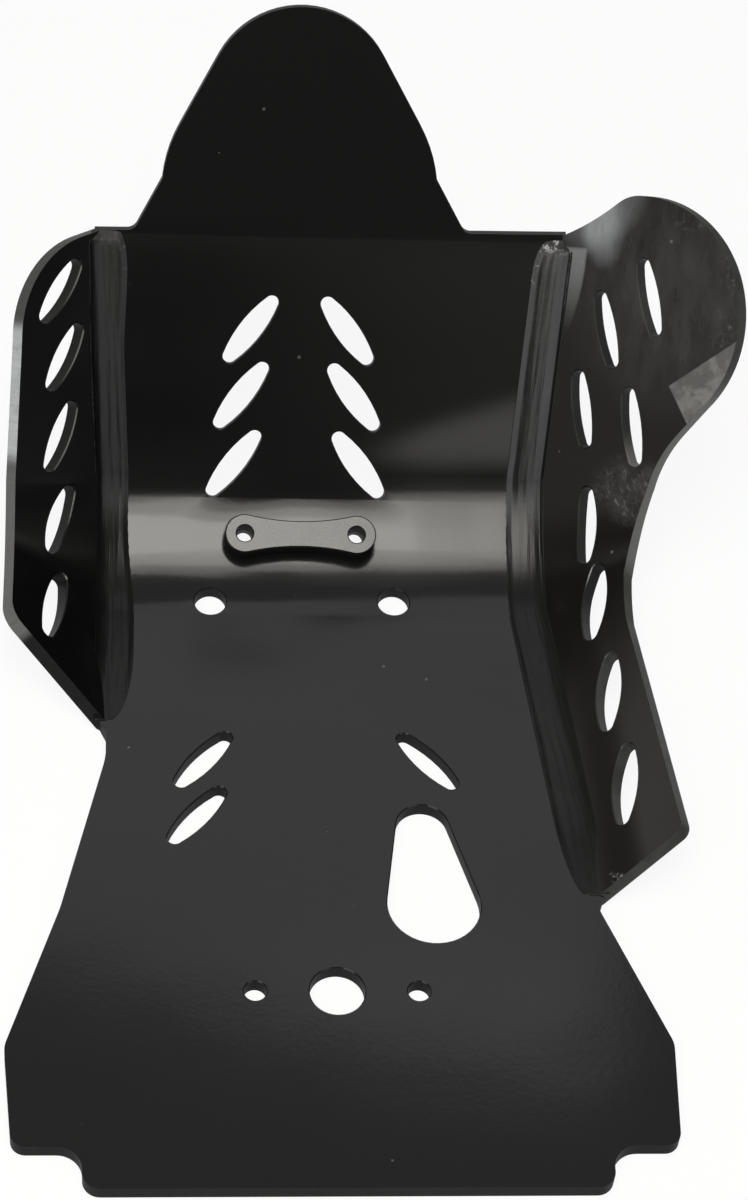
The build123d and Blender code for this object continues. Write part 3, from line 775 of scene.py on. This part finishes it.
def weld_finish(name, side, wing_black, flaky):
    """Black plastic that was squeezed out hot, with drag lines, clouds of unlike gloss and pale flakes."""
    finish = Finish(name)
    sheet = Sheet(finish)
    lean = sheet.along.math("MAXIMUM", 0.0) * math.sin(side.panel_toe)
    lean = lean - sheet.along.math("MINIMUM", 0.0) * math.sin(side.belly_toe)
    across = finish.x * side.hand - side.half - lean
    where = finish.start.node("ShaderNodeCombineXYZ", {}, {0: across, 1: DRAG_STRETCH * sheet.travel})
    drag = finish.noise(DRAG_SCALE, rough=0.6, where=where)
    cloud = finish.noise(55, detail=4)
    fine = finish.noise(FINE_GRAIN, detail=4, rough=0.65)
    head = sheet.along.rise(98 * MM, 104 * MM)
    ridge = sheet.height.rise(0.9 * MM, 0.3 * MM) * sheet.along.rise(82 * MM, 98 * MM)
    flakes = (head + ridge).capped() * fine.rise(0.52, 0.62) * flaky

    base = finish.mix(cloud.rise(0.4, 0.8), *WELD_GREYS)
    base = finish.mix(0.7 * drag.rise(0.5, 0.36), base, DRAG_BLACK)
    base = finish.mix(sheet.height.rise(1 * MM, 4 * MM), base, wing_black)
    base = finish.mix(flakes, base, FLAKE_GREY)
    rough = WELD_GLOSS + 0.16 * (cloud - 0.5) + 0.3 * head
    skin = finish.bump(fine, FINE_DEPTH, finish.bump(drag, DRAG_DEPTH))
    finish.feed(Base_Color=base, Roughness=rough, Normal=skin, Specular_IOR_Level=WELD_SHINE)
    return finish.material


left_weld_black = weld_finish("left_weld_black", LEFT, grey(0.0025), flaky=0.08)
right_weld_black = weld_finish("right_weld_black", RIGHT, grey(0.0085), flaky=0.8)
print("weld finish:", len(right_weld_black.node_tree.nodes), "nodes")

# %% [markdown]
# The clamp spacer was sawn from thicker plastic and its top was rubbed on fine sandpaper. The many small
# scratches lie roughly one way, so the noise is stretched along them. Its sawn side is dull.

# %% The clamp spacer's finish
SANDED_TOP = (grey(0.008), grey(0.05))
SANDED_GLOSS = 0.16
SAWN_BLACK, SAWN_ROUGH, SAWN_SHINE = grey(0.005), 0.6, 0.04
SANDING_DEPTH = 0.02 * MM


def spacer_finish():
    """A sanded top with fine scratches, and dull sawn sides, told apart by the normal of the top."""
    finish = Finish("spacer_black")
    facing = finish.parts(finish.start.node("ShaderNodeNewGeometry", output="True Normal"))
    top = facing[2] * math.cos(SPACER_TILT) - facing[1] * math.sin(SPACER_TILT)
    drawn_out = finish.stretched(sizes=(1, 0.12, 0.12), turn=(0, 0, 0.35))
    sanding = finish.noise(300, detail=5, rough=0.75, where=drawn_out)
    cloud = finish.noise(80, detail=4)
    base = finish.mix(sanding.rise(0.45, 0.75), *SANDED_TOP)
    rough = SANDED_GLOSS + 0.2 * (sanding - 0.5) + 0.08 * (cloud - 0.5)
    skin = finish.bump(sanding, SANDING_DEPTH)
    finish.feed(Base_Color=base, Roughness=rough, Normal=skin, IOR=PLASTIC_IOR)
    finish.cut(top.rise(0.62, 0.45), SAWN_SHINE, Base_Color=SAWN_BLACK, Roughness=SAWN_ROUGH)
    return finish.material


spacer_black = spacer_finish()
print("spacer finish:", len(spacer_black.node_tree.nodes), "nodes")

# %% [markdown]
# Each piece takes one material in all its slots. The plain solids keep their shape and their slots, and only
# what the slots hold is changed.

# %% Dress the pieces


def dress(piece, material):
    """One material over the whole piece."""
    if piece.material_slots:
        for place in piece.material_slots:
            place.material = material
    else:
        piece.data.materials.append(material)


dress(nodes["centre_plate"], plate_black)
dress(nodes["left_wing"], left_black)
dress(nodes["right_wing"], right_black)
dress(nodes["clamp_spacer"], spacer_black)
dress(left_weld, left_weld_black)
dress(right_weld, right_weld_black)
print("materials:", ", ".join(sorted(material.name for material in bpy.data.materials)))

# %% [markdown]
# The part lies on a white table that runs out of the picture on all sides. The table's colour is mixed with
# a plain white glow for the rays that come from the camera and from glossy surfaces, so it looks white
# without more light on the part, and it keeps a soft shadow. From below the table is clear.

# %% The floor
FLOOR_HALF = 40.0
FLOOR_DROP = 0.2 * MM
FLOOR_GLOW = 0.9
CARD_WHITE = grey(0.88)


def floor_finish():
    """White card, glowing in part for camera, glossy and transmission rays, and clear from below."""
    finish = Finish("white_floor")
    start = finish.start
    kinds = ("Is Camera Ray", "Is Glossy Ray", "Is Transmission Ray")
    rays = [start.node("ShaderNodeLightPath", output=kind) for kind in kinds]
    seen = (rays[0] + rays[1] + rays[2]).capped()
    card = start.node("ShaderNodeBsdfDiffuse", {}, {"Color": CARD_WHITE})
    glow = start.node("ShaderNodeEmission", {}, {"Color": grey(1.0), "Strength": 1.0})
    white = start.node("ShaderNodeMixShader", {}, {0: seen * FLOOR_GLOW, 1: card, 2: glow})
    clear = start.node("ShaderNodeBsdfTransparent")
    below = start.node("ShaderNodeNewGeometry", output="Backfacing")
    shown = start.node("ShaderNodeMixShader", {}, {0: below, 1: white, 2: clear})
    finish.tree.links.new(shown.socket, finish.out.inputs["Surface"])
    finish.tree.nodes.remove(finish.shader)
    return finish.material


floor_mesh = bpy.data.meshes.new("floor")
corners = FLOOR_HALF * np.array([[-1, -1, 0], [1, -1, 0], [1, 1, 0], [-1, 1, 0]]) - [0, 0, FLOOR_DROP]
floor_mesh.from_pydata(corners.tolist(), [], [(0, 1, 2, 3)])
floor = bpy.data.objects.new("floor", floor_mesh)
bpy.context.scene.collection.objects.link(floor)
dress(floor, floor_finish())
print("floor:", 2 * FLOOR_HALF, "m wide")

# %% [markdown]
# Black gloss shows mostly what it mirrors, so the lights are placed by what each face looks at. A function
# hangs a lamp by the direction in which a face would see it, which is easier to think in than its place.
# The first is a softbox overhead, which shows as the bright band in the bend: three panels of unlike
# length, one before another, make the band brightest in the middle.

# %% The softbox


def soft_light(name, aim, bearing, rise, distance, width, height, brightness, colour, roll=0.0):
    """A rectangular lamp seen from the aim at a bearing from front towards right, and a rise, in degrees.

    Its power is its brightness times pi times its area, so brightness is what a mirror would show of it.
    """
    lamp = bpy.data.lights.new(name, "AREA")
    lamp.shape = "RECTANGLE"
    lamp.size = width
    lamp.size_y = height
    lamp.energy = brightness * math.pi * width * height
    lamp.color = colour
    light = bpy.data.objects.new(name, lamp)
    turn, tilt, lean = math.radians(bearing), math.radians(rise), math.radians(roll)
    back = np.array([math.sin(turn) * math.cos(tilt), math.cos(turn) * math.cos(tilt), math.sin(tilt)])
    right = np.array([-math.cos(turn), math.sin(turn), 0])
    up = np.cross(back, right)
    right, up = right * math.cos(lean) + up * math.sin(lean), up * math.cos(lean) - right * math.sin(lean)
    stand = np.eye(4)
    stand[:3, :3] = np.stack([right, up, back], axis=1)
    stand[:3, 3] = np.array(aim) + distance * back
    light.matrix_world = Matrix(stand.tolist())
    light.visible_camera = False
    bpy.context.scene.collection.objects.link(light)
    return light


WARM = (1, 0.975, 0.91)
BEND_MIDDLE = (0, 0.23, 0.02)
SOFTBOX_RISE = 109
SOFTBOX_FAR, SOFTBOX_STEP = 1.3, 0.01
SOFTBOX_BRIGHTNESS = 2.3
# Each panel's shift along X, its width, and the arc in degrees that its length takes up.
PANELS = [(-0.07, 0.78, 51), (-0.08, 0.68, 40), (-0.09, 0.54, 28)]
for panel, (shift, width, arc) in enumerate(PANELS):
    length = 2 * SOFTBOX_FAR * math.tan(math.radians(arc / 2))
    aim = (BEND_MIDDLE[0] + shift, BEND_MIDDLE[1], BEND_MIDDLE[2])
    far = SOFTBOX_FAR - SOFTBOX_STEP * panel
    soft_light(f"softbox_{panel}", aim, 0, SOFTBOX_RISE, far, width, length, SOFTBOX_BRIGHTNESS, WARM)
print("panels in the softbox:", len(PANELS))

# %% [markdown]
# A card in front gives the belly its sheen, and a very dim one higher up fills the gap between the card and
# the softbox. Low cards on the left do the same for the right wing, and two bright cards behind the camera,
# with a dark gap between them, show in the welds beside the panel. The rest of the room is nearly dark.

# %% The cards and the room
WHITE = (1, 1, 1)
# Each card's name, aim, bearing, rise, distance, width, height, brightness, colour and roll.
CARDS = [
    ("ceiling_card", BEND_MIDDLE, 0, 78, 1.5, 1.3, 0.9, 0.2, WHITE, 0),
    ("front_card", (0.03, 0.05, 0), 0, 42.8, 1.7, 0.95, 0.865, 0.68, WHITE, -13),
    ("left_card", (0.13, 0.28, 0.1), -98, 7, 1.45, 1.5, 0.36, 0.25, WARM, 0),
    ("front_left_card", (0.13, 0.1, 0.03), -48, 12, 1.6, 1.1, 0.5, 0.7, WARM, 0),
    ("back_left_card", (0.1, 0.3, 0.1), -144, 34, 1.7, 0.9, 0.8, 2.8, WHITE, 0),
    ("back_right_card", (-0.09, 0.3, 0.1), 142, 34, 1.7, 0.8, 0.8, 1.3, WHITE, 0),
]
for card in CARDS:
    soft_light(*card)

ROOM_GREY = grey(0.06)
world = bpy.data.worlds.new("studio")
world.use_nodes = True
world.node_tree.nodes["Background"].inputs["Color"].default_value = ROOM_GREY
bpy.context.scene.world = world
print("lamps:", len(bpy.data.lights))

# %% [markdown]
# The camera stands behind the part and above it, looking down onto its engine side with a long lens. Three
# directions at right angles turn it. Back points away from what it looks at, up is square to back and to
# the rough right hand, and the true right follows from those two.

# %% The camera
EYE = np.array([-0.10242, -0.71644, 1.05418])
BACK = np.array([-0.0908, -0.6580, 0.7476])
RIGHT_HAND = np.array([0.9958, -0.0503, 0.0768])
LENS = 96

camera_data = bpy.data.cameras.new("camera")
camera_data.lens = LENS
camera = bpy.data.objects.new("camera", camera_data)
bpy.context.scene.collection.objects.link(camera)
back = BACK / np.linalg.norm(BACK)
up = np.cross(back, RIGHT_HAND)
up = up / np.linalg.norm(up)
turn = np.eye(4)
turn[:3, :3] = np.stack([np.cross(up, back), up, back], axis=1)
turn[:3, 3] = EYE
camera.matrix_world = Matrix(turn.tolist())
bpy.context.scene.camera = camera
bpy.context.scene.view_settings.view_transform = "Standard"
print("camera:", LENS, "mm lens")
